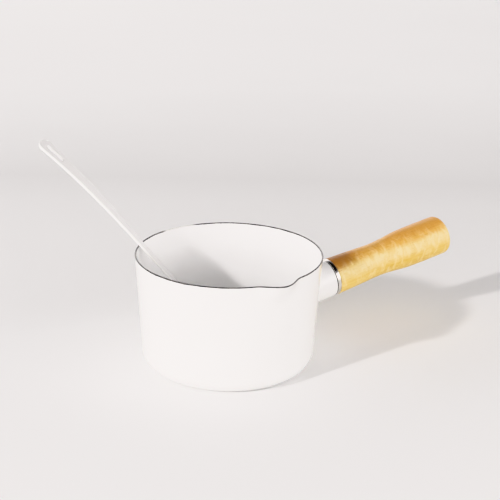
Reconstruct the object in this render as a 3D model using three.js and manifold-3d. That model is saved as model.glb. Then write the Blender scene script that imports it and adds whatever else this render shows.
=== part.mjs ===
// Enamelled melting pot with a pouring lip, a turned wooden handle and a matching spoon.
// Units are millimetres and +Z is up. The origin is the centre of the flat underside of the pot.
// The handle points along +X and the pouring lip along -Y.
import * as THREE from 'three';
import { mergeVertices } from 'three/addons/utils/BufferGeometryUtils.js';
import Module from 'manifold-3d';

const wasm = await Module();
wasm.setup();

// Clearance left between pieces that touch on the real object.
const GAP = 0.3;

// Pot: a pressed steel shell, enamelled all over.
const RIM_RADIUS = 75;
const POT_HEIGHT = 93;
const FOOT_RADIUS = 68.6;
const CORNER_RADIUS = 12.6;
const WALL = 1.2;
const POT_SEGMENTS = 96;

// Dark bead around the rim.
const EDGE_HEIGHT = 1.2;
const EDGE_OVERHANG = 0.1;

// Pouring lip, centred on -Y.
const LIP_REACH = 7.7;
const LIP_HALF_ANGLE = THREE.MathUtils.degToRad(16);
const LIP_DEPTH = 20;

// Handle axis: it leaves the middle of the socket mouth, in the XZ plane, and rises outwards.
const MOUTH_X = 98;
const MOUTH_Z = 52.5;
const HANDLE_TILT = THREE.MathUtils.degToRad(8.9);
const TURNED_SEGMENTS = 40;
const SMALL_SEGMENTS = 24;

// Socket, welded to the wall. Distances along the handle are counted from the mouth.
const SOCKET_RADIUS = 15.9;
const SOCKET_WALL = 1.2;
const SOCKET_DEPTH = 40;
const SOCKET_EDGE_LENGTH = 0.9;

// Polished ferrule between the socket and the wood.
const FERRULE_RADIUS = 15.8;
const FERRULE_LENGTH = 3.3;

// Turned wooden handle.
const TENON_RADIUS = SOCKET_RADIUS - SOCKET_WALL - GAP;
const TENON_LENGTH = 12;
const WOOD_LENGTH = 123.5;
const WOOD_NEAR_RADIUS = 15.8;
const WOOD_WAIST_RADIUS = 14.3;
const WOOD_GRIP_RADIUS = 16.9;
const WOOD_END_FILLET = 4;
const WOOD_END_CROWN = 1.2;
const RECESS_RADIUS = 6.6;
const RECESS_DEPTH = 9;

// M5 tie bolt, its washers, and the plate and nut that hold it in the socket.
const BOLT_RADIUS = 2.5;
const BOLT_HOLE_RADIUS = BOLT_RADIUS + GAP;
const BOLT_HEAD_RADIUS = 4.75;
const BOLT_HEAD_LENGTH = 3.2;
const BOLT_SLOT_WIDTH = 1.2;
const BOLT_SLOT_DEPTH = 1.4;
const WASHER_RADIUS = 6;
const WASHER_THICKNESS = 1.1;
const LOCK_WASHER_RADIUS = 4.6;
const LOCK_WASHER_THICKNESS = 1.4;
const PLATE_X = -17;
const PLATE_THICKNESS = 1.5;
const NUT_ACROSS_FLATS = 8;
const NUT_THICKNESS = 4.5;

// Spoon: it leans over the rim, and the tip of its bowl stands on the floor of the pot.
const SPOON_AZIMUTH = THREE.MathUtils.degToRad(136);
const SPOON_SLOPE = THREE.MathUtils.degToRad(46.9);
const SPOON_BEND = THREE.MathUtils.degToRad(8.4);
const SPOON_BEND_POWER = 1.7;
const SPOON_BELOW = 127.3;
const SPOON_ABOVE = 113.5;
const SPOON_THICKNESS = 2;
const SPOON_NECK_WIDTH = 7.8;
const SPOON_TIP_WIDTH = 19.8;
const SPOON_TIP_ROUND = 6.5;
const BOWL_LENGTH = 54;
const BOWL_WIDTH = 37;
const BOWL_DEPTH = 9;
const BOWL_TAPER = 0.16;
const SPOON_ROWS = 60;
const SPOON_COLUMNS = 8;
const SLOT_LENGTH = 17.5;
const SLOT_WIDTH = 4;
const SLOT_FROM_TIP = 6.5;

const enamelWhite = { color: 0xf4f2ee, roughness: 0.22, metalness: 0 };
const enamelEdge = { color: 0x3a3d41, roughness: 0.3, metalness: 0 };
const polishedSteel = { color: 0xc9c9cb, roughness: 0.12, metalness: 1 };
const plainSteel = { color: 0x8f9195, roughness: 0.4, metalness: 1 };
const varnishedWood = { color: 0xd99a4a, roughness: 0.4, metalness: 0 };

// One named mesh with its own material.
function namedMesh(name, geometry, finish) {
  const mesh = new THREE.Mesh(geometry, new THREE.MeshStandardMaterial(finish));
  mesh.name = name;
  return mesh;
}

// Joins the vertices that share a place, which leaves a closed body with positions only.
function welded(geometry) {
  const bare = geometry.clone();
  bare.deleteAttribute('normal');
  bare.deleteAttribute('uv');
  return mergeVertices(bare, 1e-4);
}

// Turns a closed geometry into a solid that can be cut or joined.
function toSolid(geometry) {
  const body = welded(geometry);
  const vertProperties = new Float32Array(body.attributes.position.array);
  const triVerts = new Uint32Array(body.index.array);
  return new wasm.Manifold(new wasm.Mesh({ numProp: 3, vertProperties, triVerts }));
}

// Turns a solid back into a geometry.
function toGeometry(solid) {
  const mesh = solid.getMesh();
  const geometry = new THREE.BufferGeometry();
  geometry.setAttribute('position', new THREE.BufferAttribute(new Float32Array(mesh.vertProperties), 3));
  geometry.setIndex(new THREE.BufferAttribute(new Uint32Array(mesh.triVerts), 1));
  geometry.computeVertexNormals();
  return geometry;
}

// Revolves [radius, height] points about Z; the first column of vertices lies on -Y.
function revolvedUp(points, segments) {
  const profile = points.map(([radius, height]) => new THREE.Vector2(radius, height));
  return welded(new THREE.LatheGeometry(profile, segments).rotateX(Math.PI / 2));
}

// Revolves [radius, distance] points about the handle's axis, which is local X.
function revolvedAlong(points, segments = TURNED_SEGMENTS) {
  const profile = points.map(([radius, distance]) => new THREE.Vector2(radius, distance));
  return welded(new THREE.LatheGeometry(profile, segments).rotateZ(-Math.PI / 2));
}

// A plain ring about the handle's axis, from one distance to another.
function ringAlong(innerRadius, outerRadius, start, end, segments = TURNED_SEGMENTS) {
  return revolvedAlong([
    [innerRadius, start],
    [outerRadius, start],
    [outerRadius, end],
    [innerRadius, end],
    [innerRadius, start],
  ], segments);
}

// ---- Pot ----

const wallSlope = Math.atan((RIM_RADIUS - FOOT_RADIUS) / POT_HEIGHT);

// Radius of the tapered wall's outside at a height, for a surface moved in by `inset`.
function wallRadius(height, inset = 0) {
  return FOOT_RADIUS + height * Math.tan(wallSlope) - inset / Math.cos(wallSlope);
}

// The outside of the pot from its axis to a height on the wall, moved in by `inset`.
function potProfile(topHeight, inset) {
  const centreRadius = wallRadius(CORNER_RADIUS, CORNER_RADIUS);
  const cornerRadius = CORNER_RADIUS - inset;
  const corner = new THREE.EllipseCurve(
    centreRadius, CORNER_RADIUS, cornerRadius, cornerRadius, -Math.PI / 2, -wallSlope, false);
  const arc = corner.getPoints(5).map((point) => [point.x, point.y]);
  const lipStart = POT_HEIGHT - LIP_DEPTH;
  const wallSteps = [0, 0.35, 0.6, 0.8].map((part) => lipStart + part * LIP_DEPTH);
  const wall = [...wallSteps, topHeight].map((height) => [wallRadius(height, inset), height]);
  return [[0, inset], ...arc, ...wall];
}

// How far the pouring lip pushes the wall out at a place on it.
function lipOffset(angleFromLip, height) {
  const across = Math.min(Math.abs(angleFromLip) / LIP_HALF_ANGLE, 1);
  const bell = 0.5 * (1 + Math.cos(Math.PI * across));
  const up = THREE.MathUtils.smoothstep(height, POT_HEIGHT - LIP_DEPTH, POT_HEIGHT + LIP_DEPTH / 4);
  const fullUp = THREE.MathUtils.smoothstep(POT_HEIGHT, POT_HEIGHT - LIP_DEPTH, POT_HEIGHT + LIP_DEPTH / 4);
  return LIP_REACH * bell * (up / fullUp);
}

// Presses the pouring lip into a geometry that was revolved about Z.
function pressLip(geometry) {
  const position = geometry.attributes.position;
  const point = new THREE.Vector3();
  for (let i = 0; i < position.count; i += 1) {
    point.fromBufferAttribute(position, i);
    const radius = Math.hypot(point.x, point.y);
    const angleFromLip = Math.atan2(point.x, -point.y);
    const scale = radius > FOOT_RADIUS ? 1 + lipOffset(angleFromLip, point.z) / radius : 1;
    position.setXYZ(i, point.x * scale, point.y * scale, point.z);
  }
  return geometry;
}

function makePotBody() {
  const top = POT_HEIGHT - EDGE_HEIGHT - GAP;
  const outside = potProfile(top, 0);
  const inside = potProfile(top, WALL).reverse();
  return pressLip(revolvedUp([...outside, ...inside], POT_SEGMENTS));
}

function makeRimEdge() {
  const inner = RIM_RADIUS - WALL - EDGE_OVERHANG;
  const outer = RIM_RADIUS + EDGE_OVERHANG;
  const low = POT_HEIGHT - EDGE_HEIGHT;
  const chamfer = EDGE_HEIGHT * 0.35;
  return pressLip(revolvedUp([
    [inner, low],
    [outer, low],
    [outer, POT_HEIGHT - chamfer],
    [outer - chamfer, POT_HEIGHT],
    [inner + chamfer, POT_HEIGHT],
    [inner, POT_HEIGHT - chamfer],
    [inner, low],
  ], POT_SEGMENTS));
}

// ---- Handle ----

// The pot's outside as a full solid, grown by the clearance, in the handle's own frame.
function potBlankInHandleFrame(handle) {
  const outside = potProfile(POT_HEIGHT, -GAP);
  const blank = revolvedUp([...outside, [0, POT_HEIGHT]], POT_SEGMENTS);
  handle.updateMatrixWorld(true);
  return toSolid(blank.applyMatrix4(handle.matrixWorld.clone().invert()));
}

function makeSocket(handle) {
  const mouth = -SOCKET_EDGE_LENGTH - GAP;
  const tube = toSolid(ringAlong(SOCKET_RADIUS - SOCKET_WALL, SOCKET_RADIUS, -SOCKET_DEPTH, mouth));
  return toGeometry(tube.subtract(potBlankInHandleFrame(handle)));
}

function makeWoodHandle() {
  const shoulder = FERRULE_LENGTH + 2 * GAP;
  const fillet = WOOD_END_FILLET;
  const filletX = WOOD_LENGTH - WOOD_END_CROWN - fillet;
  const between = THREE.MathUtils.lerp;
  const grip = new THREE.SplineCurve([
    new THREE.Vector2(WOOD_NEAR_RADIUS, shoulder),
    new THREE.Vector2(between(WOOD_NEAR_RADIUS, WOOD_WAIST_RADIUS, 0.45), 0.21 * WOOD_LENGTH),
    new THREE.Vector2(WOOD_WAIST_RADIUS, 0.39 * WOOD_LENGTH),
    new THREE.Vector2(between(WOOD_WAIST_RADIUS, WOOD_GRIP_RADIUS, 0.3), 0.51 * WOOD_LENGTH),
    new THREE.Vector2(between(WOOD_WAIST_RADIUS, WOOD_GRIP_RADIUS, 0.85), 0.63 * WOOD_LENGTH),
    new THREE.Vector2(WOOD_GRIP_RADIUS, 0.77 * WOOD_LENGTH),
    new THREE.Vector2(WOOD_GRIP_RADIUS, filletX),
  ]);
  const corner = new THREE.EllipseCurve(
    WOOD_GRIP_RADIUS - fillet, filletX, fillet, fillet, 0, Math.PI / 2, false);
  const curvePoints = [...grip.getPoints(18), ...corner.getPoints(4).slice(1)];
  const outline = curvePoints.map((point) => [point.x, point.y]);
  return revolvedAlong([
    [BOLT_HOLE_RADIUS, -TENON_LENGTH],
    [TENON_RADIUS, -TENON_LENGTH],
    [TENON_RADIUS, shoulder],
    ...outline,
    [RECESS_RADIUS, WOOD_LENGTH],
    [RECESS_RADIUS, WOOD_LENGTH - RECESS_DEPTH],
    [BOLT_HOLE_RADIUS, WOOD_LENGTH - RECESS_DEPTH],
    [BOLT_HOLE_RADIUS, -TENON_LENGTH],
  ]);
}

const washerStart = WOOD_LENGTH - RECESS_DEPTH + GAP;
const lockStart = washerStart + WASHER_THICKNESS + GAP;
const headStart = lockStart + LOCK_WASHER_THICKNESS + GAP;

function makeTieBolt() {
  const nutEnd = PLATE_X - GAP - NUT_THICKNESS;
  const bolt = revolvedAlong([
    [0, nutEnd - 1],
    [BOLT_RADIUS - 0.5, nutEnd - 1],
    [BOLT_RADIUS, nutEnd - 0.5],
    [BOLT_RADIUS, headStart],
    [BOLT_HEAD_RADIUS, headStart],
    [BOLT_HEAD_RADIUS, headStart + BOLT_HEAD_LENGTH - 0.6],
    [BOLT_HEAD_RADIUS - 0.6, headStart + BOLT_HEAD_LENGTH],
    [0, headStart + BOLT_HEAD_LENGTH],
  ], SMALL_SEGMENTS);
  const slot = new THREE.BoxGeometry(2 * BOLT_SLOT_DEPTH, BOLT_SLOT_WIDTH, 3 * BOLT_HEAD_RADIUS);
  slot.translate(headStart + BOLT_HEAD_LENGTH, 0, 0);
  return toGeometry(toSolid(bolt).subtract(toSolid(slot)));
}

function makeNut() {
  const hexagon = new THREE.Shape();
  const corner = NUT_ACROSS_FLATS / Math.sqrt(3);
  for (let i = 0; i < 6; i += 1) {
    const angle = i * Math.PI / 3;
    const x = corner * Math.cos(angle);
    const y = corner * Math.sin(angle);
    if (i === 0) hexagon.moveTo(x, y);
    else hexagon.lineTo(x, y);
  }
  hexagon.closePath();
  hexagon.holes.push(new THREE.Path().absarc(0, 0, BOLT_HOLE_RADIUS, 0, 2 * Math.PI, true));
  const options = { depth: NUT_THICKNESS, bevelEnabled: false, curveSegments: 16 };
  const nut = new THREE.ExtrudeGeometry(hexagon, options);
  return nut.rotateY(Math.PI / 2).translate(PLATE_X - GAP - NUT_THICKNESS, 0, 0);
}

function makeHandle() {
  const handle = new THREE.Group();
  handle.position.set(MOUTH_X, 0, MOUTH_Z);
  handle.rotation.y = -HANDLE_TILT;
  const plate = ringAlong(BOLT_HOLE_RADIUS, TENON_RADIUS, PLATE_X, PLATE_X + PLATE_THICKNESS);
  const edge = ringAlong(SOCKET_RADIUS - SOCKET_WALL, SOCKET_RADIUS + 0.1, -SOCKET_EDGE_LENGTH, 0);
  const ferrule = ringAlong(TENON_RADIUS + GAP, FERRULE_RADIUS, GAP, GAP + FERRULE_LENGTH);
  const washerEnd = washerStart + WASHER_THICKNESS;
  const washer = ringAlong(BOLT_HOLE_RADIUS, WASHER_RADIUS, washerStart, washerEnd, SMALL_SEGMENTS);
  const lockEnd = lockStart + LOCK_WASHER_THICKNESS;
  const lockWasher = ringAlong(BOLT_HOLE_RADIUS, LOCK_WASHER_RADIUS, lockStart, lockEnd, SMALL_SEGMENTS);
  handle.add(
    namedMesh('handle_socket', makeSocket(handle), enamelWhite),
    namedMesh('socket_edge', edge, enamelEdge),
    namedMesh('anchor_plate', plate, plainSteel),
    namedMesh('anchor_nut', makeNut(), plainSteel),
    namedMesh('ferrule', ferrule, polishedSteel),
    namedMesh('wood_handle', makeWoodHandle(), varnishedWood),
    namedMesh('tie_bolt', makeTieBolt(), plainSteel),
    namedMesh('tail_washer', washer, plainSteel),
    namedMesh('lock_washer', lockWasher, plainSteel),
  );
  return handle;
}

// ---- Spoon ----

// Half the width of the spoon at a distance from the tip of its bowl.
function spoonHalfWidth(distance) {
  const total = SPOON_BELOW + SPOON_ABOVE;
  const handleFraction = THREE.MathUtils.clamp((distance - SPOON_BELOW) / SPOON_ABOVE, 0, 1);
  const handleWidth = SPOON_NECK_WIDTH + (SPOON_TIP_WIDTH - SPOON_NECK_WIDTH) * handleFraction ** 1.25;
  const fromTip = total - distance;
  const tipRound = fromTip < SPOON_TIP_ROUND ? Math.sqrt(1 - (1 - fromTip / SPOON_TIP_ROUND) ** 2) : 1;
  const bowlFraction = THREE.MathUtils.clamp(distance / BOWL_LENGTH, 0, 1);
  const oval = Math.sqrt(Math.max(0, 1 - (2 * bowlFraction - 1) ** 2));
  const bowl = BOWL_WIDTH * oval * (1 + BOWL_TAPER * (0.4 - bowlFraction));
  const blend = THREE.MathUtils.smoothstep(bowlFraction, 0.75, 1);
  const wide = THREE.MathUtils.lerp(bowl, Math.max(bowl, handleWidth), blend);
  return 0.5 * Math.max(distance < BOWL_LENGTH ? wide : handleWidth, 0.2) * tipRound;
}

// The handle's slope at a distance beyond the rim: it bends outwards towards its tip.
function spoonSlope(beyondRim) {
  return SPOON_SLOPE - SPOON_BEND * (beyondRim / SPOON_ABOVE) ** SPOON_BEND_POWER;
}

// Where the spoon's middle line is, and its slope, at a distance from the tip of its bowl.
function spoonLine(distance) {
  const steps = 40;
  const beyondRim = Math.max(0, distance - SPOON_BELOW);
  const straight = Math.min(distance, SPOON_BELOW) - SPOON_BELOW;
  const place = new THREE.Vector2(straight * Math.cos(SPOON_SLOPE), straight * Math.sin(SPOON_SLOPE));
  for (let i = 0; i < steps; i += 1) {
    const slope = spoonSlope(beyondRim * (i + 0.5) / steps);
    place.x += beyondRim / steps * Math.cos(slope);
    place.y += beyondRim / steps * Math.sin(slope);
  }
  return { place, slope: spoonSlope(beyondRim) };
}

// How far the dished bowl sinks below the middle line; `across` runs from -1 to 1.
function bowlSink(distance, across) {
  const along = THREE.MathUtils.clamp(distance / BOWL_LENGTH, 0, 1);
  return BOWL_DEPTH * Math.sin(Math.PI * along) ** 0.8 * (1 - across ** 2);
}

// A closed body between an upper and a lower sheet; local X is outwards and local Z is up.
function makeSpoonBlank() {
  const total = SPOON_BELOW + SPOON_ABOVE;
  const positions = [];
  const rowLength = SPOON_COLUMNS + 1;
  for (const side of [1, -1]) {
    for (let row = 0; row <= SPOON_ROWS; row += 1) {
      const even = row / SPOON_ROWS;
      const distance = total * (even - Math.sin(2 * Math.PI * even) * 0.06);
      const { place, slope } = spoonLine(distance);
      const halfWidth = Math.max(spoonHalfWidth(distance), 0.6);
      for (let column = 0; column <= SPOON_COLUMNS; column += 1) {
        const across = -Math.cos(Math.PI * column / SPOON_COLUMNS);
        const round = 0.55 + 0.45 * Math.sqrt(1 - across ** 4);
        const offset = side * 0.5 * SPOON_THICKNESS * round - bowlSink(distance, across);
        const outwards = place.x - offset * Math.sin(slope);
        const upwards = place.y + offset * Math.cos(slope);
        positions.push(outwards, halfWidth * across, upwards);
      }
    }
  }
  const index = [];
  const sheetSize = (SPOON_ROWS + 1) * rowLength;
  const quad = (a, b, c, d) => index.push(a, b, c, a, c, d);
  for (let row = 0; row < SPOON_ROWS; row += 1) {
    for (let column = 0; column < SPOON_COLUMNS; column += 1) {
      const a = row * rowLength + column;
      quad(a, a + rowLength, a + rowLength + 1, a + 1);
      quad(sheetSize + a, sheetSize + a + 1, sheetSize + a + rowLength + 1, sheetSize + a + rowLength);
    }
    const left = row * rowLength;
    const right = left + SPOON_COLUMNS;
    quad(left, sheetSize + left, sheetSize + left + rowLength, left + rowLength);
    quad(right, right + rowLength, sheetSize + right + rowLength, sheetSize + right);
  }
  for (let column = 0; column < SPOON_COLUMNS; column += 1) {
    const last = SPOON_ROWS * rowLength + column;
    quad(column, column + 1, sheetSize + column + 1, sheetSize + column);
    quad(last, sheetSize + last, sheetSize + last + 1, last + 1);
  }
  const geometry = new THREE.BufferGeometry();
  geometry.setAttribute('position', new THREE.Float32BufferAttribute(positions, 3));
  geometry.setIndex(index);
  return geometry;
}

// The hanging slot near the tip of the handle, as a solid that cuts right through.
function makeSlotCutter() {
  const halfWidth = SLOT_WIDTH / 2;
  const straight = SLOT_LENGTH / 2 - halfWidth;
  const outline = new THREE.Shape();
  outline.absarc(straight, 0, halfWidth, -Math.PI / 2, Math.PI / 2, false);
  outline.absarc(-straight, 0, halfWidth, Math.PI / 2, 3 * Math.PI / 2, false);
  outline.closePath();
  const depth = 10 * SPOON_THICKNESS;
  const cutter = new THREE.ExtrudeGeometry(outline, { depth, bevelEnabled: false, curveSegments: 8 });
  const centre = SPOON_BELOW + SPOON_ABOVE - SLOT_FROM_TIP - SLOT_LENGTH / 2;
  const { place, slope } = spoonLine(centre);
  return cutter.translate(0, 0, -depth / 2).rotateY(-slope).translate(place.x, 0, place.y);
}

function makeSpoon() {
  const blank = toSolid(makeSpoonBlank());
  const spoon = namedMesh('spoon', toGeometry(blank.subtract(toSolid(makeSlotCutter()))), enamelWhite);
  const clearance = 0.5 * SPOON_THICKNESS / Math.cos(SPOON_SLOPE) + 2 * GAP;
  const contactRadius = RIM_RADIUS - WALL - EDGE_OVERHANG;
  const contactX = contactRadius * Math.cos(SPOON_AZIMUTH);
  const contactY = contactRadius * Math.sin(SPOON_AZIMUTH);
  spoon.position.set(contactX, contactY, POT_HEIGHT + clearance);
  spoon.rotation.z = SPOON_AZIMUTH;
  return spoon;
}

const meltingPot = new THREE.Group();
meltingPot.add(
  namedMesh('pot_body', makePotBody(), enamelWhite),
  namedMesh('rim_edge', makeRimEdge(), enamelEdge),
  makeHandle(),
  makeSpoon(),
);

export default meltingPot;
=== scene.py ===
# Looks of an enamelled melting pot with a turned wooden handle and a matching spoon.
# The scene is in metres, +Z up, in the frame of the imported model. The dimensions below are in millimetres.
# The handle points along +X and the pouring lip along -Y.
import math

import bmesh
import bpy
from mathutils import Matrix, Vector


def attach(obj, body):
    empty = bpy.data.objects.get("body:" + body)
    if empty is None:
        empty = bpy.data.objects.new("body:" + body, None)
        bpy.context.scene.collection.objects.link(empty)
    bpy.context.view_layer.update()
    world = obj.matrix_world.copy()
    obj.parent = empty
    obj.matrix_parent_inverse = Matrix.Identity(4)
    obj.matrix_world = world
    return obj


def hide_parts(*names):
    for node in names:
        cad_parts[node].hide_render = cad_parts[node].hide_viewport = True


MM = 0.001

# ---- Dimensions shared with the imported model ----

RIM_RADIUS = 75
POT_HEIGHT = 93
FOOT_RADIUS = 68.6
CORNER_RADIUS = 12.6
WALL = 1.2
EDGE_OVERHANG = 0.1

LIP_REACH = 7.7
LIP_HALF_ANGLE = math.radians(16)
LIP_DEPTH = 20

MOUTH_X = 98
MOUTH_Z = 52.5
HANDLE_TILT = math.radians(8.9)
SOCKET_RADIUS = 15.9
SOCKET_WALL = 1.2
FERRULE_RADIUS = 15.8
FERRULE_START = 0.3
FERRULE_LENGTH = 3.3

WOOD_START = 3.9
WOOD_LENGTH = 123.5
WOOD_NEAR_RADIUS = 15.8
WOOD_WAIST_RADIUS = 14.3
WOOD_GRIP_RADIUS = 16.9
WOOD_END_FILLET = 4
WOOD_END_CROWN = 1.2
RECESS_RADIUS = 6.6
RECESS_DEPTH = 9
TENON_RADIUS = 14.4
TENON_START = -12
BOLT_HOLE_RADIUS = 2.8

BOLT_RADIUS = 2.5
BOLT_HEAD_RADIUS = 4.75
BOLT_HEAD_LENGTH = 3.2
BOLT_SLOT_WIDTH = 1.2
BOLT_SLOT_DEPTH = 1.4
WASHER_RADIUS = 6
WASHER_START = 114.8
WASHER_THICKNESS = 1.1
LOCK_WASHER_RADIUS = 4.6
LOCK_WASHER_START = 116.2
LOCK_WASHER_THICKNESS = 1.4
BOLT_HEAD_START = 117.9
BOLT_NEAR_END = -22.8

SPOON_AZIMUTH = math.radians(136)
SPOON_SLOPE = math.radians(46.9)
SPOON_BEND = math.radians(8.4)
SPOON_BEND_POWER = 1.7
SPOON_BELOW = 127.3
SPOON_ABOVE = 113.5
SPOON_THICKNESS = 2
SPOON_NECK_WIDTH = 7.8
SPOON_TIP_WIDTH = 19.8
SPOON_TIP_ROUND = 6.5
SPOON_RIM_RADIUS = 73.7
SPOON_RIM_CLEARANCE = 0.6
BOWL_LENGTH = 54
BOWL_WIDTH = 37
BOWL_DEPTH = 9
BOWL_TAPER = 0.16
SLOT_LENGTH = 17.5
SLOT_WIDTH = 4
SLOT_FROM_TIP = 6.5
SPOON_TOTAL = SPOON_BELOW + SPOON_ABOVE
SPOON_ACROSS = (math.sin(SPOON_AZIMUTH), -math.cos(SPOON_AZIMUTH), 0)

# ---- Details that only the visible pieces have ----

POT_SEGMENTS = 360
WALL_ROWS = 44
CORNER_STEPS = 20
SHELL_BELOW_RIM = 0.4
EDGE_DEPTH = 0.9
# Centre of the painted highlight on the rim, at the back.
RIM_PAINTED_HIGHLIGHT = Vector((-5, 74.8, 93))

TURNED_SEGMENTS = 120
WELD_FILLET = 1.8
WELD_STEPS = 8
SUNK_IN_WALL = 0.5
SOCKET_ROUND = 0.4
SOCKET_EDGE_SHOWN = 0.5
SOCKET_EDGE_OVERLAP = 0.1
SOCKET_EDGE_ROUND = 0.2
FERRULE_CLEARANCE = 0.3
FERRULE_ROUND = 0.5
WOOD_SHORTER = 0.2
WOOD_ROUND = 0.5
WOOD_SEGMENTS = 144
BOLT_HEAD_ROUND = 0.8
BOLT_CHAMFER = 0.5
BOLT_SEGMENTS = 48
WASHER_ROUND = 0.25
WASHER_SEGMENTS = 64
LOCK_WASHER_ROUND = 0.2
LOCK_WASHER_CLIMB = 0.3
LOCK_WASHER_GAP = math.radians(12)
LOCK_WASHER_STEPS = 60

SPOON_EDGE_ROUND = 0.9
SPOON_ROWS = 220
SPOON_COLUMNS = 36
SLOT_ROUND = 0.6
SLOT_PLUG_HEIGHT = 3
SLOT_PLUG_MARGIN = 0.15
SLOT_SEGMENTS = 64

# ---- Colours of the glaze, some with painted light and shade ----

POT_GLAZE = (0.835, 0.832, 0.826)
# Painted light: a lighter glaze where the surface doesn't face away from the axis, which brightens the shade
# inside the pot.
POT_INSIDE_PAINTED_LIGHT = (0.918, 0.916, 0.913)
# Painted shade on the spoon's faces and a painted highlight along its long edges.
SPOON_FACE_PAINTED_SHADE = (0.72, 0.715, 0.711)
SPOON_EDGE_PAINTED_HIGHLIGHT = (0.92, 0.915, 0.91)

# ---- Camera, light and floor, in metres ----

CAMERA_PLACE = Vector((-0.53605, -0.86184, 0.46912))
CAMERA_FORWARD = Vector((0.50860, 0.78876, -0.34523))
CAMERA_UP = Vector((0.16907, 0.30199, 0.93820))
CAMERA_LENS = 97.74
CAMERA_SENSOR = 36

KEY_DIRECTION = Vector((-0.885, -0.143, 0.443))
KEY_DISTANCE = 5.0
KEY_ANGLE = math.radians(3.4)
KEY_STRENGTH = 1.73
FILL_DIRECTION = Vector((0.45, -0.80, 0.42))
FILL_DISTANCE = 3.0
FILL_SIZE = (1.8, 1.4)
FILL_POWER = 8
STUDIO_TINT = (1.0, 0.962, 0.953)
WALL_LIGHT = 2.89

# How bright the studio is in each direction, by the upward part of the direction.
WALL_LEVELS = (
    (0.0, 0.5), (0.09, 0.6), (0.17, 1.15), (0.35, 0.84),
    (0.53, 0.3), (0.70, 0.06), (0.82, 0.012), (1.0, 0.01),
)

# The floor's painted light and shade: its tone by the distance behind the pot's axis, how it changes
# from left to right, and the two directions on it.
FLOOR_BACK = (0.542, 0.840, 0)
FLOOR_RIGHT = (0.840, -0.542, 0)
FLOOR_PAINTED_LIGHT_TONES = (
    (-0.25, 0.975), (-0.05, 0.925), (0.10, 0.865), (0.41, 0.785), (0.50, 0.735),
    (0.60, 0.775), (0.75, 0.825), (0.95, 0.87), (1.60, 0.905),
)
FLOOR_SIDE_REACH = 0.5
FLOOR_SIDE_PAINTED_LIGHT = (1.06, 0.94)
FLOOR_RADIUS = 9
FLOOR_HEIGHT = -0.0002


# ---- Small sums ----

def lerp(a, b, part):
    return a + (b - a) * part


def smoothstep(value, low, high):
    part = min(max((value - low) / (high - low), 0), 1)
    return part * part * (3 - 2 * part)


def arc(centre, radius, start, end, steps):
    """Points on a circle in the [radius, height] plane; the angles run from the radius axis."""
    angles = [lerp(start, end, i / steps) for i in range(steps + 1)]
    return [(centre[0] + radius * math.cos(a), centre[1] + radius * math.sin(a)) for a in angles]


# ---- Meshes ----

def join_rings(rings, closed=True):
    """Joins rings of points with four-sided faces, and either the last to the first or caps on both ends."""
    size = len(rings[0])
    points = [point for ring in rings for point in ring]
    faces = []
    if not closed:
        faces.append(tuple(range(size)))
        faces.append(tuple(reversed(range(len(points) - size, len(points)))))
    for row in range(len(rings) if closed else len(rings) - 1):
        near = row * size
        far = (row + 1) % len(rings) * size
        for i in range(size):
            j = (i + 1) % size
            faces.append((near + i, near + j, far + j, far + i))
    return points, faces


def revolve(outline, segments):
    """Turns a closed [radius, height] outline about Z, starting from -Y."""
    rings = []
    for column in range(segments):
        angle = 2 * math.pi * column / segments
        rings.append([(r * math.sin(angle), -r * math.cos(angle), h) for r, h in outline])
    return join_rings(rings)


def to_mesh(name, points, faces, sharp_angle=math.radians(35)):
    """A closed smooth mesh from points in millimetres, with its faces out and its sharp edges kept."""
    work = bmesh.new()
    vertices = [work.verts.new(Vector(point) * MM) for point in points]
    for face in faces:
        work.faces.new([vertices[i] for i in face])
    bmesh.ops.remove_doubles(work, verts=work.verts, dist=0.002 * MM)
    bmesh.ops.dissolve_degenerate(work, edges=work.edges, dist=0.001 * MM)
    bmesh.ops.recalc_face_normals(work, faces=work.faces)
    mark_sharp(work, sharp_angle)
    mesh = bpy.data.meshes.new(name)
    work.to_mesh(mesh)
    work.free()
    return mesh


def mark_sharp(work, sharp_angle):
    """Smooth faces, with a crease along every edge that bends by more than an angle."""
    for face in work.faces:
        face.smooth = True
    for edge in work.edges:
        edge.smooth = len(edge.link_faces) == 2 and edge.calc_face_angle() < sharp_angle


def add_piece(name, mesh, material, body, node, place=None):
    """Puts a mesh in the scene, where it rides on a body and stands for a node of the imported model."""
    if place is not None:
        mesh.transform(place)
    piece = bpy.data.objects.new(name, mesh)
    bpy.context.scene.collection.objects.link(piece)
    mesh.materials.append(material)
    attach(piece, body)
    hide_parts(node)
    return piece


def cut(piece, cutter_mesh, place):
    """Cuts a closed mesh out of a piece and smooths the new faces."""
    cutter = bpy.data.objects.new("cutter", cutter_mesh)
    bpy.context.scene.collection.objects.link(cutter)
    cutter.matrix_world = place
    modifier = piece.modifiers.new("cut", "BOOLEAN")
    modifier.object = cutter
    modifier.solver = "EXACT"
    bpy.context.view_layer.update()
    evaluated = piece.evaluated_get(bpy.context.evaluated_depsgraph_get())
    result = bpy.data.meshes.new_from_object(evaluated)
    piece.modifiers.clear()
    piece.data = result
    bpy.data.objects.remove(cutter)
    work = bmesh.new()
    work.from_mesh(result)
    mark_sharp(work, math.radians(35))
    work.to_mesh(result)
    work.free()


# ---- Materials ----

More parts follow.
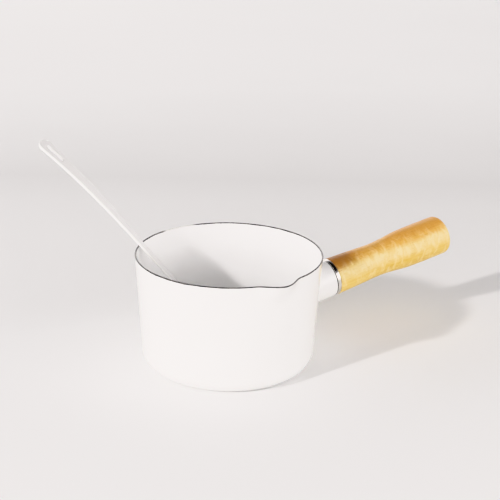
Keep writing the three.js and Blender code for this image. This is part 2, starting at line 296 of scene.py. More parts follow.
class Shader:
    """A node material, with short calls for the nodes that the finishes use."""

    def __init__(self, name):
        self.material = bpy.data.materials.new(name)
        self.material.use_nodes = True
        self.tree = self.material.node_tree
        self.surface = self.tree.nodes["Principled BSDF"]

    def add(self, kind, inputs, **settings):
        """A node with its settings; an input is a plain value or another node's output."""
        node = self.tree.nodes.new("ShaderNode" + kind)
        for setting, value in settings.items():
            setattr(node, setting, value)
        for name, value in inputs.items():
            self.put(node.inputs[name], value)
        return node

    def put(self, socket, value):
        if isinstance(value, bpy.types.NodeSocket):
            self.tree.links.new(value, socket)
        else:
            socket.default_value = value

    def finish(self, **inputs):
        for name, value in inputs.items():
            self.put(self.surface.inputs[name.replace("_", " ")], value)
        return self.material

    def position(self, scale=(1, 1, 1), offset=(0, 0, 0)):
        """The place on the piece in metres, stretched by scale."""
        place = self.add("TexCoord", {}).outputs["Object"]
        return self.add("Mapping", {"Vector": place, "Scale": scale, "Location": offset}).outputs[0]

    def handle_position(self, scale=(1, 1, 1), offset=(0, 0, 0)):
        """The place in the handle's own frame, where local Z runs along it, stretched by scale."""
        mouth = (MOUTH_X * MM, 0, MOUTH_Z * MM)
        inputs = {"Vector": self.position(), "Location": mouth, "Rotation": (0, math.pi / 2 - HANDLE_TILT, 0)}
        local = self.add("Mapping", inputs, vector_type="TEXTURE").outputs[0]
        return self.add("Mapping", {"Vector": local, "Scale": scale, "Location": offset}).outputs[0]

    def noise(self, scale, place=None, detail=2.0, roughness=0.5, warp=0.0):
        inputs = {"Vector": place or self.position(), "Scale": scale, "Detail": detail,
                  "Roughness": roughness, "Distortion": warp}
        return self.add("TexNoise", inputs).outputs["Fac"]

    def spread(self, value, low, high, to_low=0.0, to_high=1.0, smooth=True):
        """Maps low..high to to_low..to_high, without going past either end."""
        inputs = {"Value": value, "From Min": low, "From Max": high, "To Min": to_low, "To Max": to_high}
        kind = "SMOOTHSTEP" if smooth else "LINEAR"
        return self.add("MapRange", inputs, interpolation_type=kind, clamp=True).outputs[0]

    def vector(self, operation, a, b):
        """One sum of two vectors. A distance or a dot product gives a number."""
        node = self.add("VectorMath", {}, operation=operation)
        self.put(node.inputs[0], a)
        self.put(node.inputs[1], b)
        return node.outputs["Vector" if operation == "MULTIPLY" else "Value"]

    def facing(self, direction):
        """One where the surface faces along a direction or against it, nought where it faces elsewhere."""
        lean = self.vector("DOT_PRODUCT", self.add("TexCoord", {}).outputs["Normal"], direction)
        return self.spread(self.sum("ABSOLUTE", lean, 0), 0.25, 0.7)

    def facing_axis(self):
        """One where the surface doesn't face away from the pot's upright axis, nought where it does."""
        outwards = self.vector("MULTIPLY", self.position(), (1, 1, 0))
        lean = self.vector("DOT_PRODUCT", self.add("TexCoord", {}).outputs["Normal"], outwards)
        return self.spread(lean, 0.0, 20 * MM, 1.0, 0.0)

    def sum(self, operation, a, b):
        """One sum of two numbers."""
        node = self.add("Math", {}, operation=operation)
        self.put(node.inputs[0], a)
        self.put(node.inputs[1], b)
        return node.outputs[0]

    def blend(self, part, a, b, kind="MIX"):
        node = self.add("Mix", {}, data_type="RGBA", blend_type=kind)
        self.put(node.inputs[0], part)
        self.put(node.inputs[6], a)
        self.put(node.inputs[7], b)
        return node.outputs[2]

    def bump(self, height, distance, normal=None):
        """Surface relief: a height of 1 stands out by distance millimetres."""
        inputs = {"Height": height, "Distance": distance * MM, "Strength": 1.0}
        if normal is not None:
            inputs["Normal"] = normal
        return self.add("Bump", inputs).outputs[0]


def rgb(red, green, blue):
    return (red, green, blue, 1.0)


def enamel(s, ground, waviness, density, coat):
    """Glossy vitreous enamel over a ground colour: slow waves, a fine orange peel and a few pinholes."""
    clouds = s.spread(s.noise(22, detail=3), 0.3, 0.7)
    colour = s.blend(1.0, ground, s.blend(clouds, rgb(0.976, 0.976, 0.975), rgb(1, 1, 1)), "MULTIPLY")
    cells = s.add("TexVoronoi", {"Vector": s.position(), "Scale": 170.0}, feature="F1")
    rare = s.spread(s.noise(95, detail=0), 0.66, 0.72)
    pinhole = s.sum("MULTIPLY", s.spread(cells.outputs["Distance"], 0.05, 0.11, 1.0, 0.0), rare)
    colour = s.blend(s.sum("MULTIPLY", pinhole, 0.45), colour, rgb(0.42, 0.39, 0.35))
    smears = s.spread(s.noise(38, detail=4, roughness=0.6), 0.35, 0.7, 0.13, 0.22)
    relief = s.bump(s.noise(45, detail=1), waviness)
    relief = s.bump(s.noise(330, detail=2), 0.012, relief)
    relief = s.bump(s.sum("MULTIPLY", pinhole, -1.0), 0.05, relief)
    return s.finish(Base_Color=colour, Roughness=smears, Normal=relief, IOR=density,
                    Coat_Weight=coat, Coat_Roughness=0.05)


def pot_enamel():
    """The glaze of the pot and the socket, with painted light: lighter wherever it doesn't face away from the
    pot's axis, which lifts the shade inside the pot.
    """
    s = Shader("white_enamel")
    ground = s.blend(s.facing_axis(), rgb(*POT_GLAZE), rgb(*POT_INSIDE_PAINTED_LIGHT))
    return enamel(s, ground, 0.10, 1.52, 0.35)


def spoon_enamel():
    """The spoon's glaze, with painted shade that makes its faces greyer than the pot, and a painted highlight
    where it turns over the long edges.
    """
    s = Shader("spoon_enamel")
    ground = s.blend(s.facing(SPOON_ACROSS), rgb(*SPOON_FACE_PAINTED_SHADE), rgb(*SPOON_EDGE_PAINTED_HIGHLIGHT))
    return enamel(s, ground, 0.05, 1.2, 0.0)


def enamel_edge():
    """Dark enamel wiped on the rim: nearly black and browner in places, with a painted highlight that makes
    it pale along one stretch at the back.
    """
    s = Shader("dark_enamel_edge")
    thin = s.spread(s.noise(120, detail=4, roughness=0.65), 0.42, 0.68)
    colour = s.blend(thin, rgb(0.03, 0.03, 0.032), rgb(0.13, 0.12, 0.11))
    # Painted highlight: the dark rim turns pale near one place at the back.
    painted_highlight = s.spread(s.vector("DISTANCE", s.position(), RIM_PAINTED_HIGHLIGHT * MM), 11 * MM, 19 * MM, 0.9, 0.0)
    colour = s.blend(painted_highlight, colour, rgb(0.78, 0.77, 0.75))
    gloss = s.spread(s.noise(260, detail=2), 0.3, 0.7, 0.2, 0.38)
    relief = s.bump(s.noise(700, detail=3), 0.03)
    return s.finish(Base_Color=colour, Roughness=gloss, Normal=relief, IOR=1.5)


def polished_ferrule():
    """Polished steel with the fine lines of the lathe around it."""
    s = Shader("polished_ferrule")
    lines = s.noise(1.0, s.handle_position((40, 40, 9000)), detail=2)
    smears = s.noise(130, detail=3)
    colour = s.blend(s.spread(smears, 0.35, 0.7), rgb(0.72, 0.70, 0.67), rgb(0.84, 0.83, 0.81))
    gloss = s.spread(lines, 0.3, 0.7, 0.08, 0.17)
    return s.finish(Base_Color=colour, Metallic=1.0, Roughness=gloss, Normal=s.bump(lines, 0.004))


def plain_steel():
    """Zinc-plated steel: a fine grain with duller, yellowish blotches."""
    s = Shader("plain_steel")
    blotch = s.spread(s.noise(240, detail=4, roughness=0.6), 0.38, 0.66)
    colour = s.blend(blotch, rgb(0.50, 0.50, 0.51), rgb(0.42, 0.40, 0.35))
    gloss = s.spread(s.noise(600, detail=3), 0.3, 0.7, 0.28, 0.46)
    return s.finish(Base_Color=colour, Metallic=1.0, Roughness=gloss,
                    Normal=s.bump(s.noise(2600, detail=2), 0.01))


def grain(s, fibre, figure_and_sheen):
    """The wood's colour: growth rings, fine fibres and a pale figure across them, which is partly the wood's
    own figure and partly a painted sheen.
    """
    rings = s.add("TexWave", {
        "Vector": s.handle_position((1, 1, 0.09), (0.055, 0.021, 0)), "Scale": 95.0,
        "Distortion": 2.6, "Detail": 3.0, "Detail Scale": 0.9, "Detail Roughness": 0.55,
    }, wave_type="RINGS", rings_direction="Z", wave_profile="SIN").outputs["Fac"]
    slow = s.noise(1.0, s.handle_position((34, 34, 16)), detail=2)
    colour = s.blend(s.spread(slow, 0.32, 0.7), rgb(0.69, 0.47, 0.11), rgb(0.79, 0.58, 0.18))
    colour = s.blend(s.spread(rings, 0.45, 1.0, 0.0, 0.38), colour, rgb(0.64, 0.37, 0.07))
    colour = s.blend(s.spread(fibre, 0.3, 0.75, 0.0, 0.45), colour, rgb(0.90, 0.70, 0.28))
    # The pale figure is partly the wood's own and partly a painted sheen.
    return s.blend(s.spread(figure_and_sheen, 0.45, 0.68, 0.0, 0.6), colour, rgb(0.92, 0.76, 0.40))


def painted_sheen_and_top_shade(s, colour, fibre, figure_and_sheen):
    """A paler band along both sides of the handle, painted as a sheen, and a darker amber top, painted as
    shade.
    """
    height = s.add("SeparateXYZ", {"Vector": s.handle_position()}).outputs["X"]
    above = s.spread(height, -13 * MM, -7 * MM)
    below = s.spread(height, -5 * MM, 3 * MM, 1.0, 0.0)
    side = s.sum("MULTIPLY", above, below)
    pale = s.sum("MULTIPLY", side, s.spread(figure_and_sheen, 0.3, 0.68, 0.45, 0.8))
    colour = s.blend(pale, colour, rgb(0.93, 0.79, 0.46))
    shift = s.spread(figure_and_sheen, 0.2, 0.8, -1.6 * MM, 1.6 * MM, smooth=False)
    # Painted shade: a darker amber along the top of the handle.
    painted_top_shade = s.spread(s.sum("ADD", height, shift), -16.5 * MM, -7.5 * MM, 0.85, 0.0)
    return s.blend(painted_top_shade, colour, s.blend(fibre, rgb(0.53, 0.235, 0.05), rgb(0.67, 0.34, 0.085)))


def stain(s):
    """How strong the brown stain is that spreads from the ferrule along the top."""
    away = s.vector("DISTANCE", s.handle_position((1, 1, 0.5)), (-16 * MM, -3 * MM, 4 * MM))
    ripple = s.noise(1.0, s.handle_position((90, 90, 30)), detail=3)
    shift = s.spread(ripple, 0.2, 0.8, -6 * MM, 6 * MM, smooth=False)
    return s.spread(s.sum("ADD", away, shift), 3 * MM, 14 * MM, 0.64, 0.0)


def varnished_wood():
    """Golden turned wood under satin varnish. Local Z is the grain and local -X the top of the handle."""
    s = Shader("varnished_wood")
    fibre = s.noise(1.0, s.handle_position((1300, 1300, 42)), detail=3, roughness=0.6)
    # A pale figure that is partly the wood's and partly a painted sheen.
    figure_and_sheen = s.noise(1.0, s.handle_position((110, 110, 210)), detail=4, roughness=0.6, warp=0.8)
    pore = s.spread(s.noise(1.0, s.handle_position((2400, 2400, 130)), detail=1), 0.62, 0.72)
    colour = painted_sheen_and_top_shade(s, grain(s, fibre, figure_and_sheen), fibre, figure_and_sheen)
    colour = s.blend(s.sum("MULTIPLY", pore, 0.4), colour, rgb(0.36, 0.17, 0.035))
    colour = s.blend(stain(s), colour, rgb(0.43, 0.165, 0.05))
    gloss = s.spread(fibre, 0.3, 0.7, 0.38, 0.5)
    relief = s.bump(fibre, 0.02)
    relief = s.bump(s.sum("MULTIPLY", pore, -1.0), 0.03, relief)
    return s.finish(Base_Color=colour, Roughness=gloss, Normal=relief, IOR=1.25,
                    Coat_Weight=0.06, Coat_Roughness=0.3)


def set_stops(ramp, stops):
    """Gives a fresh colour ramp its stops, each a place from 0 to 1 and a colour."""
    ramp.elements[0].color = stops[0][1]
    ramp.elements[1].color = stops[-1][1]
    for place, colour in stops[1:-1]:
        ramp.elements.new(place).color = colour


def studio_floor():
    """Pale matt paper with painted light and shade: lightest in front and to the left, with a soft darker
    band behind the object.
    """
    s = Shader("studio_floor")
    start = FLOOR_PAINTED_LIGHT_TONES[0][0]
    end = FLOOR_PAINTED_LIGHT_TONES[-1][0]
    back = s.vector("DOT_PRODUCT", s.position(), FLOOR_BACK)
    # Painted light and shade on the floor: lighter in front, a darker band behind.
    tones = s.add("ValToRGB", {"Fac": s.spread(back, start, end, smooth=False)})
    stops = [((at - start) / (end - start), rgb(tone, tone, tone)) for at, tone in FLOOR_PAINTED_LIGHT_TONES]
    set_stops(tones.color_ramp, stops)
    right = s.vector("DOT_PRODUCT", s.position(), FLOOR_RIGHT)
    side = s.spread(right, -FLOOR_SIDE_REACH, FLOOR_SIDE_REACH, *FLOOR_SIDE_PAINTED_LIGHT, smooth=False)
    cloud = s.spread(s.noise(2.2, detail=2), 0.3, 0.7, 0.99, 1.01)
    colour = s.blend(1.0, tones.outputs["Color"], s.sum("MULTIPLY", side, cloud), "MULTIPLY")
    return s.finish(Base_Color=colour, Roughness=0.8, Normal=s.bump(s.noise(900, detail=3), 0.02))


# ---- Pot ----

WALL_SLOPE = math.atan((RIM_RADIUS - FOOT_RADIUS) / POT_HEIGHT)


def wall_radius(height, inset=0.0):
    """The radius of the tapered wall at a height, moved in square to the wall by inset."""
    return FOOT_RADIUS + height * math.tan(WALL_SLOPE) - inset / math.cos(WALL_SLOPE)


def pot_outline(top, inset):
    """The pot's outside from near its axis to a height on the wall, moved in by inset."""
    centre = (wall_radius(CORNER_RADIUS, CORNER_RADIUS), CORNER_RADIUS)
    bottom = [(part * centre[0], inset) for part in (0.0, 0.3, 0.6, 0.8, 0.92)]
    corner = arc(centre, CORNER_RADIUS - inset, -math.pi / 2, -WALL_SLOPE, CORNER_STEPS)
    low = corner[-1][1]
    heights = [lerp(low, top, i / WALL_ROWS) for i in range(1, WALL_ROWS + 1)]
    return bottom + corner + [(wall_radius(height, inset), height) for height in heights]


def lip_offset(angle_from_lip, height):
    """How far the pouring lip is pushed out: a bell across it that grows towards the rim."""
    across = min(abs(angle_from_lip) / LIP_HALF_ANGLE, 1)
    bell = 0.5 * (1 + math.cos(math.pi * across))
    low = POT_HEIGHT - LIP_DEPTH
    high = POT_HEIGHT + LIP_DEPTH / 4
    return LIP_REACH * bell * smoothstep(height, low, high) / smoothstep(POT_HEIGHT, low, high)


def press_lip(points):
    """Pushes the pouring lip out of points that were turned about Z."""
    pressed = []
    for x, y, z in points:
        radius = math.hypot(x, y)
        scale = 1 + lip_offset(math.atan2(x, -y), z) / radius if radius > FOOT_RADIUS else 1
        pressed.append((x * scale, y * scale, z))
    return pressed


def add_pot_shell(material):
    """The pressed pot, inside and out, from its axis to just under the rim."""
    top = POT_HEIGHT - SHELL_BELOW_RIM
    outside = pot_outline(top, 0)
    inside = pot_outline(top, WALL)
    points, faces = revolve(outside + inside[::-1], POT_SEGMENTS)
    mesh = to_mesh("pot_shell", press_lip(points), faces)
    return add_piece("pot_shell", mesh, material, "pot", "pot_body")


def edge_depth(angle, phase):
    """How far down the dark rim reaches, which wavers around the pot."""
    waver = 0.16 * math.sin(5 * angle + phase) + 0.11 * math.sin(13 * angle + 2.3 * phase)
    waver += 0.07 * math.sin(31 * angle + 1.7 * phase) + 0.04 * math.sin(67 * angle + phase)
    return EDGE_DEPTH * (0.92 + waver)


def add_rim_bead(material):
    """The dark rounded bead that laps over the top of the wall."""
    inner = RIM_RADIUS - WALL - EDGE_OVERHANG
    outer = RIM_RADIUS + EDGE_OVERHANG
    half = (outer - inner) / 2
    rings = []
    for column in range(POT_SEGMENTS):
        angle = 2 * math.pi * column / POT_SEGMENTS
        crown = arc(((inner + outer) / 2, POT_HEIGHT - half), half, 0, math.pi, 12)
        outline = [(outer, POT_HEIGHT - edge_depth(angle, 1.0))] + crown
        outline += [(inner, POT_HEIGHT - edge_depth(angle, 4.0))]
        ring = [(r * math.sin(angle), -r * math.cos(angle), min(h, POT_HEIGHT)) for r, h in outline]
        rings.append(press_lip(ring))
    points, faces = join_rings(rings)
    mesh = to_mesh("rim_bead", points, faces, math.radians(60))
    return add_piece("rim_bead", mesh, material, "pot", "rim_edge")


# ---- Handle. Its pieces are made about local Z, which runs outwards from the socket's mouth. ----

HANDLE_PLACE = (Matrix.Translation(Vector((MOUTH_X, 0, MOUTH_Z)) * MM)
                @ Matrix.Rotation(math.pi / 2 - HANDLE_TILT, 4, "Y"))


def add_turned(name, outline, material, node, segments=TURNED_SEGMENTS, sharp_angle=math.radians(35)):
    points, faces = revolve(outline, segments)
    mesh = to_mesh(name, points, faces, sharp_angle)
    return add_piece(name, mesh, material, "pot", node, HANDLE_PLACE)


def rounded_ring(inner, outer, start, end, fillet):
    """The outline of a ring with round edges on its outside."""
    far = arc((outer - fillet, end - fillet), fillet, 0, math.pi / 2, 5)
    near = arc((outer - fillet, start + fillet), fillet, -math.pi / 2, 0, 5)
    return near + far + [(inner, end), (inner, start)]


def distance_to_wall(angle, radius, sunk=0.0):
    """Where a line along the handle, at a radius and angle about its axis, meets the pot's outside."""
    low, high = -60.0, 0.0
    for _ in range(40):
        middle = (low + high) / 2
        local = Vector((radius * math.cos(angle), radius * math.sin(angle), middle))
        point = HANDLE_PLACE @ (local * MM) / MM
        outside = math.hypot(point.x, point.y) > wall_radius(point.z) - sunk
        low, high = (low, middle) if outside else (middle, high)
    return (low + high) / 2


def hollow(start, corner, end):
    """A curve from start to end that is drawn towards the corner between them."""
    line = []
    for i in range(WELD_STEPS + 1):
        t = i / WELD_STEPS
        near, middle, far = (1 - t) ** 2, 2 * t * (1 - t), t ** 2
        line.append(tuple(near * start[n] + middle * corner[n] + far * end[n] for n in range(2)))
    return line


def add_socket_shell(material):
    """The tube that is welded to the wall, with the weld's hollow fillet around it."""
    mouth = -SOCKET_EDGE_SHOWN + SOCKET_EDGE_OVERLAP
    flare = SOCKET_RADIUS + WELD_FILLET
    inner = SOCKET_RADIUS - SOCKET_WALL
    columns = []
    for column in range(TURNED_SEGMENTS):
        angle = 2 * math.pi * column / TURNED_SEGMENTS
        corner = distance_to_wall(angle, SOCKET_RADIUS)
        foot = distance_to_wall(angle, flare)
        start = corner + WELD_FILLET
        line = [(flare, distance_to_wall(angle, flare, SUNK_IN_WALL))]
        line += hollow((flare, foot), (SOCKET_RADIUS, corner), (SOCKET_RADIUS, start))
        line += [(SOCKET_RADIUS, lerp(start, mouth - SOCKET_ROUND, i / 6)) for i in range(1, 7)]
        line += arc((SOCKET_RADIUS - SOCKET_ROUND, mouth - SOCKET_ROUND), SOCKET_ROUND, 0, math.pi / 2, 4)[1:]
        line += [(inner, mouth), (inner, distance_to_wall(angle, inner, SUNK_IN_WALL))]
        columns.append([(r * math.cos(angle), r * math.sin(angle), d) for r, d in line])
    points, faces = join_rings(columns)
    mesh = to_mesh("socket_shell", points, faces)
    return add_piece("socket_shell", mesh, material, "pot", "handle_socket", HANDLE_PLACE)


def wood_outline():
    """The turned handle from its shoulder to the recess in its end."""
    length = WOOD_LENGTH - WOOD_SHORTER
    knots = [
        (WOOD_NEAR_RADIUS, WOOD_START),
        (lerp(WOOD_NEAR_RADIUS, WOOD_WAIST_RADIUS, 0.45), 0.21 * length),
        (WOOD_WAIST_RADIUS, 0.39 * length),
        (lerp(WOOD_WAIST_RADIUS, WOOD_GRIP_RADIUS, 0.30), 0.51 * length),
        (lerp(WOOD_WAIST_RADIUS, WOOD_GRIP_RADIUS, 0.85), 0.63 * length),
        (WOOD_GRIP_RADIUS, 0.77 * length),
        (WOOD_GRIP_RADIUS, length - WOOD_END_CROWN - WOOD_END_FILLET),
    ]
    grip = smooth_line(knots, 14)
    shoulder = arc((WOOD_NEAR_RADIUS - WOOD_ROUND, WOOD_START + WOOD_ROUND), WOOD_ROUND, -math.pi / 2, 0, 4)
    centre = (WOOD_GRIP_RADIUS - WOOD_END_FILLET, length - WOOD_END_CROWN - WOOD_END_FILLET)
    fillet = arc(centre, WOOD_END_FILLET, 0, math.pi / 2, 12)
    end = []
    for i in range(1, 8):
        radius = lerp(centre[0], RECESS_RADIUS + WOOD_ROUND, i / 7)
        outward = (radius - RECESS_RADIUS) / (centre[0] - RECESS_RADIUS)
        end.append((radius, length - WOOD_END_CROWN * outward ** 2))
    lip = arc((RECESS_RADIUS + WOOD_ROUND, length - WOOD_ROUND), WOOD_ROUND, math.pi / 2, math.pi, 4)[1:]
    floor = length - RECESS_DEPTH
    tenon = [(BOLT_HOLE_RADIUS, TENON_START), (TENON_RADIUS, TENON_START), (TENON_RADIUS, WOOD_START)]
    grip = [point for point in grip if point[1] > WOOD_START + 1]
    recess = [(RECESS_RADIUS, floor), (BOLT_HOLE_RADIUS, floor)]
    return tenon + shoulder + grip + fillet[1:] + end + lip + recess


def smooth_line(knots, steps):
    """A Catmull-Rom line through the knots."""
    line = [knots[0]]
    for i in range(len(knots) - 1):
        a, b, c, d = knots[max(i - 1, 0)], knots[i], knots[i + 1], knots[min(i + 2, len(knots) - 1)]
        for k in range(1, steps + 1):
            t = k / steps
            line.append(tuple(catmull(a[n], b[n], c[n], d[n], t) for n in range(2)))
    return line


def catmull(a, b, c, d, t):
    """One coordinate of a Catmull-Rom curve, part of the way from b to c."""
    slope_b = (c - a) / 2
    slope_c = (d - b) / 2
    cubic = 2 * b - 2 * c + slope_b + slope_c
    square = -3 * b + 3 * c - 2 * slope_b - slope_c
    return cubic * t ** 3 + square * t ** 2 + slope_b * t + b


def add_tie_bolt(material):
    """The long bolt through the wood, with a screwdriver slot cut in its head."""
    top = BOLT_HEAD_START + BOLT_HEAD_LENGTH
    outline = [
        (0, BOLT_NEAR_END),
        (BOLT_RADIUS - BOLT_CHAMFER, BOLT_NEAR_END),
        (BOLT_RADIUS, BOLT_NEAR_END + BOLT_CHAMFER),
        (BOLT_RADIUS, BOLT_HEAD_START),
        (BOLT_HEAD_RADIUS, BOLT_HEAD_START),
    ]
    centre = (BOLT_HEAD_RADIUS - BOLT_HEAD_ROUND, top - BOLT_HEAD_ROUND)
    outline += arc(centre, BOLT_HEAD_ROUND, 0, math.pi / 2, 5)
    outline.append((0, top))
    bolt = add_turned("slotted_bolt", outline, material, "tie_bolt", BOLT_SEGMENTS)
    size = Vector((BOLT_SLOT_WIDTH, 3 * BOLT_HEAD_RADIUS, 2 * BOLT_SLOT_DEPTH)) * MM
    work = bmesh.new()
    bmesh.ops.create_cube(work, size=1, matrix=Matrix.Diagonal(size).to_4x4())
    cutter = bpy.data.meshes.new("bolt_slot_cutter")
    work.to_mesh(cutter)
    work.free()
    cut(bolt, cutter, HANDLE_PLACE @ Matrix.Translation((0, 0, top * MM)))
    return bolt


def add_lock_washer(material):
    """A split spring washer: a square section that climbs a little from one side of its gap to the other."""
    top = LOCK_WASHER_START + LOCK_WASHER_THICKNESS - LOCK_WASHER_CLIMB
    section = rounded_ring(BOLT_HOLE_RADIUS, LOCK_WASHER_RADIUS, LOCK_WASHER_START, top, LOCK_WASHER_ROUND)
    rings = []
    for step in range(LOCK_WASHER_STEPS + 1):
        part = step / LOCK_WASHER_STEPS
        angle = lerp(LOCK_WASHER_GAP, 2 * math.pi - LOCK_WASHER_GAP, part)
        rise = LOCK_WASHER_CLIMB * part
        rings.append([(r * math.cos(angle), r * math.sin(angle), h + rise) for r, h in section])
    points, faces = join_rings(rings, closed=False)
    mesh = to_mesh("spring_washer", points, faces)
    return add_piece("spring_washer", mesh, material, "pot", "lock_washer", HANDLE_PLACE)


def add_handle(white, edge, ferrule, steel, wood):
    add_socket_shell(white)
    mouth = SOCKET_RADIUS - SOCKET_WALL
    mouth_ring = rounded_ring(mouth, SOCKET_RADIUS, -SOCKET_EDGE_SHOWN, 0, SOCKET_EDGE_ROUND)
    add_turned("socket_mouth_edge", mouth_ring, edge, "socket_edge")
    ferrule_end = FERRULE_START + FERRULE_LENGTH
    bore = TENON_RADIUS + FERRULE_CLEARANCE
    band = rounded_ring(bore, FERRULE_RADIUS, FERRULE_START, ferrule_end, FERRULE_ROUND)
    add_turned("ferrule_band", band, ferrule, "ferrule", sharp_angle=math.radians(60))
    add_turned("turned_handle", wood_outline(), wood, "wood_handle", WOOD_SEGMENTS)
    washer_end = WASHER_START + WASHER_THICKNESS
    washer = rounded_ring(BOLT_HOLE_RADIUS, WASHER_RADIUS, WASHER_START, washer_end, WASHER_ROUND)
    add_turned("flat_washer", washer, steel, "tail_washer", WASHER_SEGMENTS)
    add_lock_washer(steel)
    add_tie_bolt(steel)


# ---- Spoon. It is made with local X outwards over the rim and local Z up. ----

def spoon_half_width(distance):
    """Half the spoon's width at a distance from the tip of its bowl."""
    along = min(max((distance - SPOON_BELOW) / SPOON_ABOVE, 0), 1)
    handle = SPOON_NECK_WIDTH + (SPOON_TIP_WIDTH - SPOON_NECK_WIDTH) * along ** 1.25
    from_tip = SPOON_TOTAL - distance
    into_round = max(0, 1 - from_tip / SPOON_TIP_ROUND)
    tip = math.sqrt(max(0, 1 - into_round ** 2))
    in_bowl = min(max(distance / BOWL_LENGTH, 0), 1)
    oval = math.sqrt(max(0, 1 - (2 * in_bowl - 1) ** 2))
    bowl = BOWL_WIDTH * oval * (1 + BOWL_TAPER * (0.4 - in_bowl))
    wide = lerp(bowl, max(bowl, handle), smoothstep(in_bowl, 0.75, 1))
    return 0.5 * (wide if distance < BOWL_LENGTH else handle) * tip


def spoon_slope(beyond_rim):
    """The slope of the spoon's handle, which flattens towards its tip."""
    return SPOON_SLOPE - SPOON_BEND * (beyond_rim / SPOON_ABOVE) ** SPOON_BEND_POWER


def spoon_line(distance):
    """Where the spoon's middle line is, and its slope, at a distance from the tip of its bowl."""
    steps = 60
    beyond = max(0, distance - SPOON_BELOW)
    straight = min(distance, SPOON_BELOW) - SPOON_BELOW
    x = straight * math.cos(SPOON_SLOPE)
    z = straight * math.sin(SPOON_SLOPE)
    for i in range(steps):
        slope = spoon_slope(beyond * (i + 0.5) / steps)
        x += beyond / steps * math.cos(slope)
        z += beyond / steps * math.sin(slope)
    return x, z, spoon_slope(beyond)


def bowl_sink(distance, across):
    """How deep the bowl is at a place along it and across it, from -1 to 1."""
    along = min(max(distance / BOWL_LENGTH, 0), 1)
    return BOWL_DEPTH * math.sin(math.pi * along) ** 0.8 * (1 - across ** 2)


def spoon_row_distances():
    """Rows that close up towards both ends of the spoon."""
    rows = []
    for i in range(SPOON_ROWS + 1):
        even = i / SPOON_ROWS
        bunched = 0.5 - 0.5 * math.cos(math.pi * even)
        rows.append(SPOON_TOTAL * lerp(even, bunched, 0.9))
    return rows


def spoon_mesh():
    """Two sheets that meet in a round edge all along the spoon's outline."""
    half = SPOON_THICKNESS / 2
    points = []
    for side in (1, -1):
        for distance in spoon_row_distances():
            x, z, slope = spoon_line(distance)
            width = spoon_half_width(distance)
            step = 0.02
            before = spoon_half_width(max(distance - step, 0))
            after = spoon_half_width(min(distance + step, SPOON_TOTAL))
            steepness = math.hypot(1, (after - before) / (2 * step))
            for column in range(SPOON_COLUMNS + 1):
                across = -math.cos(math.pi * column / SPOON_COLUMNS)
                inside = min(width * (1 - abs(across)) / steepness / SPOON_EDGE_ROUND, 1)
                height = half * math.sqrt(1 - (1 - inside) ** 2)
                offset = side * height - bowl_sink(distance, across)
                points.append((x - offset * math.sin(slope), width * across, z + offset * math.cos(slope)))
    row_size = SPOON_COLUMNS + 1
    sheet = (SPOON_ROWS + 1) * row_size
    faces = []
    for row in range(SPOON_ROWS):
        for column in range(SPOON_COLUMNS):
            a = row * row_size + column
            quad = (a, a + row_size, a + row_size + 1, a + 1)
            faces.append(quad)
            faces.append(tuple(sheet + i for i in reversed(quad)))
    return to_mesh("ladle", points, faces, math.radians(70))


def slot_cutter():
    """A slot-shaped plug that flares at both faces of the spoon, which rounds the edges of the hole."""
    half = SPOON_THICKNESS / 2
    flare = SLOT_ROUND + SLOT_PLUG_MARGIN
    levels = [(-SLOT_PLUG_HEIGHT, flare), (-half - 0.02, flare)]
    for i in range(1, 7):
        angle = math.pi / 2 * i / 6
        levels.append((-half + SLOT_ROUND * (1 - math.cos(angle)), SLOT_ROUND * (1 - math.sin(angle))))
    levels += [(-height, grow) for height, grow in reversed(levels)]
    straight = (SLOT_LENGTH - SLOT_WIDTH) / 2
    rings = []
    for height, grow in levels:
        radius = SLOT_WIDTH / 2 + grow
        ring = []
        for i in range(SLOT_SEGMENTS):
            angle = 2 * math.pi * i / SLOT_SEGMENTS
            shift = straight if math.cos(angle) > 0 else -straight
            ring.append((shift + radius * math.cos(angle), radius * math.sin(angle), height))
        rings.append(ring)
    points, faces = join_rings(rings, closed=False)
    return to_mesh("spoon_slot_cutter", points, faces)


def add_spoon(material):
    """The spoon, which leans on the rim with its bowl in the pot."""
    height = POT_HEIGHT + 0.5 * SPOON_THICKNESS / math.cos(SPOON_SLOPE) + SPOON_RIM_CLEARANCE
    east = SPOON_RIM_RADIUS * math.cos(SPOON_AZIMUTH)
    north = SPOON_RIM_RADIUS * math.sin(SPOON_AZIMUTH)
    place = Matrix.Translation(Vector((east, north, height)) * MM) @ Matrix.Rotation(SPOON_AZIMUTH, 4, "Z")
    spoon = add_piece("ladle", spoon_mesh(), material, "spoon", "spoon", place)
    x, z, slope = spoon_line(SPOON_TOTAL - SLOT_FROM_TIP - SLOT_LENGTH / 2)
    there = Matrix.Translation(Vector((x, 0, z)) * MM) @ Matrix.Rotation(-slope, 4, "Y")
    cut(spoon, slot_cutter(), place @ there)
    return spoon


# ---- Floor, light and camera ----

def add_floor():
    """A wide pale floor."""
    work = bmesh.new()
    bmesh.ops.create_circle(work, cap_ends=True, segments=96, radius=FLOOR_RADIUS)
    mesh = bpy.data.meshes.new("studio_floor")
    work.to_mesh(mesh)
    work.free()
    mesh.materials.append(studio_floor())
    floor = bpy.data.objects.new("studio_floor", mesh)
    bpy.context.scene.collection.objects.link(floor)
    floor.location.z = FLOOR_HEIGHT


def tinted(level):
    """A grey of that level in the slightly warm tint of the studio's light."""
    return (*[level * share for share in STUDIO_TINT], 1.0)


def add_lamp(name, kind, direction, distance, strength):
    """A lamp that shines on the origin from a direction."""
    lamp = bpy.data.lights.new(name, kind)
    lamp.energy = strength
    lamp.color = STUDIO_TINT
    light = bpy.data.objects.new(name, lamp)
    bpy.context.scene.collection.objects.link(light)
    aim = direction.normalized()
    light.location = aim * distance
    light.rotation_euler = aim.to_track_quat("Z", "Y").to_euler()
    return lamp


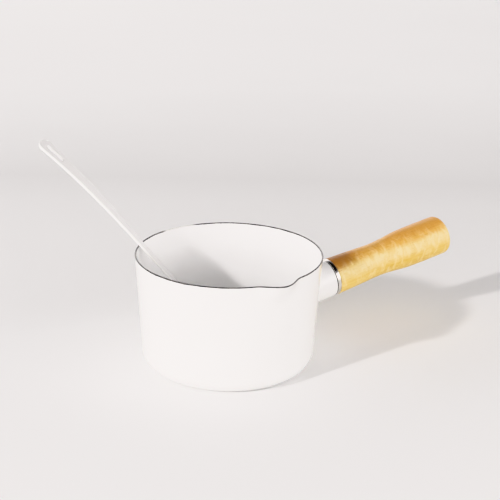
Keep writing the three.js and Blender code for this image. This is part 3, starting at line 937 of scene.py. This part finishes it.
def add_lamps():
    """A distant key lamp, which casts the one clear shadow, and a soft box that fills from the right."""
    add_lamp("key_light", "SUN", KEY_DIRECTION, KEY_DISTANCE, KEY_STRENGTH).angle = KEY_ANGLE
    fill = add_lamp("fill_light", "AREA", FILL_DIRECTION, FILL_DISTANCE, FILL_POWER)
    fill.shape = "RECTANGLE"
    fill.size, fill.size_y = FILL_SIZE


def add_studio_walls():
    """Light from all around: bright walls and a dim ceiling."""
    world = bpy.data.worlds.new("studio")
    world.use_nodes = True
    tree = world.node_tree
    direction = tree.nodes.new("ShaderNodeTexCoord").outputs["Generated"]
    split = tree.nodes.new("ShaderNodeSeparateXYZ")
    tree.links.new(direction, split.inputs[0])
    ramp = tree.nodes.new("ShaderNodeValToRGB")
    set_stops(ramp.color_ramp, [(height, tinted(level)) for height, level in WALL_LEVELS])
    tree.links.new(split.outputs["Z"], ramp.inputs[0])
    background = tree.nodes["Background"]
    tree.links.new(ramp.outputs["Color"], background.inputs["Color"])
    background.inputs["Strength"].default_value = WALL_LIGHT
    bpy.context.scene.world = world


def add_camera():
    lens = bpy.data.cameras.new("camera")
    lens.lens = CAMERA_LENS
    lens.sensor_width = CAMERA_SENSOR
    camera = bpy.data.objects.new("camera", lens)
    bpy.context.scene.collection.objects.link(camera)
    forward = CAMERA_FORWARD.normalized()
    right = forward.cross(CAMERA_UP).normalized()
    up = right.cross(forward)
    turn = Matrix((right, up, -forward)).transposed().to_4x4()
    camera.matrix_world = Matrix.Translation(CAMERA_PLACE) @ turn
    bpy.context.scene.camera = camera


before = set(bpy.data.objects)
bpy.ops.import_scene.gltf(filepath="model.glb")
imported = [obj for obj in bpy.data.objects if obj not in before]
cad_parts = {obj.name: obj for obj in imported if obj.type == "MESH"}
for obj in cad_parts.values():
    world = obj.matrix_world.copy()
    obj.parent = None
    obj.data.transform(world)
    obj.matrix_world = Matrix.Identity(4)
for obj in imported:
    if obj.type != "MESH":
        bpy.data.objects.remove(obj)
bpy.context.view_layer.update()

steel = plain_steel()
white = pot_enamel()
edge = enamel_edge()
add_pot_shell(white)
add_rim_bead(edge)
add_handle(white, edge, polished_ferrule(), steel, varnished_wood())
add_spoon(spoon_enamel())
for name in ("anchor_plate", "anchor_nut"):
    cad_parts[name].data.materials.clear()
    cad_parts[name].data.materials.append(steel)

add_floor()
add_studio_walls()
add_lamps()
add_camera()
bpy.context.scene.view_settings.view_transform = "Khronos PBR Neutral"
